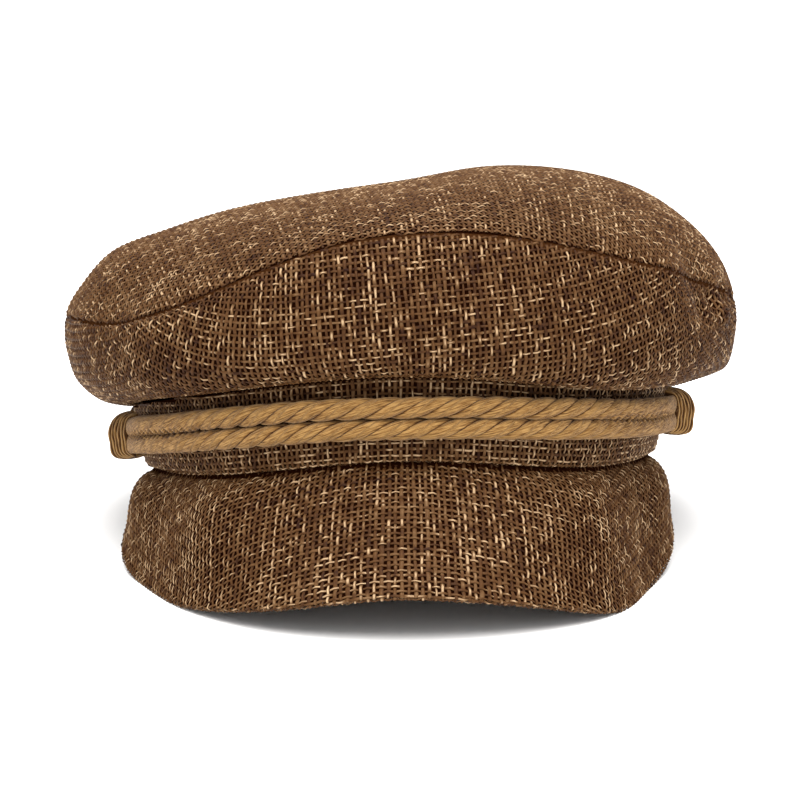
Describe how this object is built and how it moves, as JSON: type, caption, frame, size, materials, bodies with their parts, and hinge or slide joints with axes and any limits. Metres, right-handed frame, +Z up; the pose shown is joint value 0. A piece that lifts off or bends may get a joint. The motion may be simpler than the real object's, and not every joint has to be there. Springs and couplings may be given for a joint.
{
  "type": "breton fisherman cap",
  "caption": "Woven straw fisherman's cap with a soft full crown, a head band, a stiff downturned peak and a doubled rope across the front.",
  "frame": {"origin": "middle of the cap's bounding box, at the surface that it stands on", "axes": "+Z up, the peak and rope face -Y, and +X is the right of someone who looks at the front"},
  "size_m": [0.2244, 0.2588, 0.131],
  "materials": {
    "straw_cloth": "open plain weave of brown straw yarn with pale flecks, over dark navy lining",
    "cotton_rope": "soft laid cotton, tan"
  },
  "bodies": {
    "root": {"head_band": "straw_cloth", "crown_side_front": "straw_cloth", "crown_side_back": "straw_cloth", "crown_top": "straw_cloth", "peak": "straw_cloth", "rope": "cotton_rope", "keeper_left": "cotton_rope", "keeper_right": "cotton_rope"}
  },
  "joints": []
}
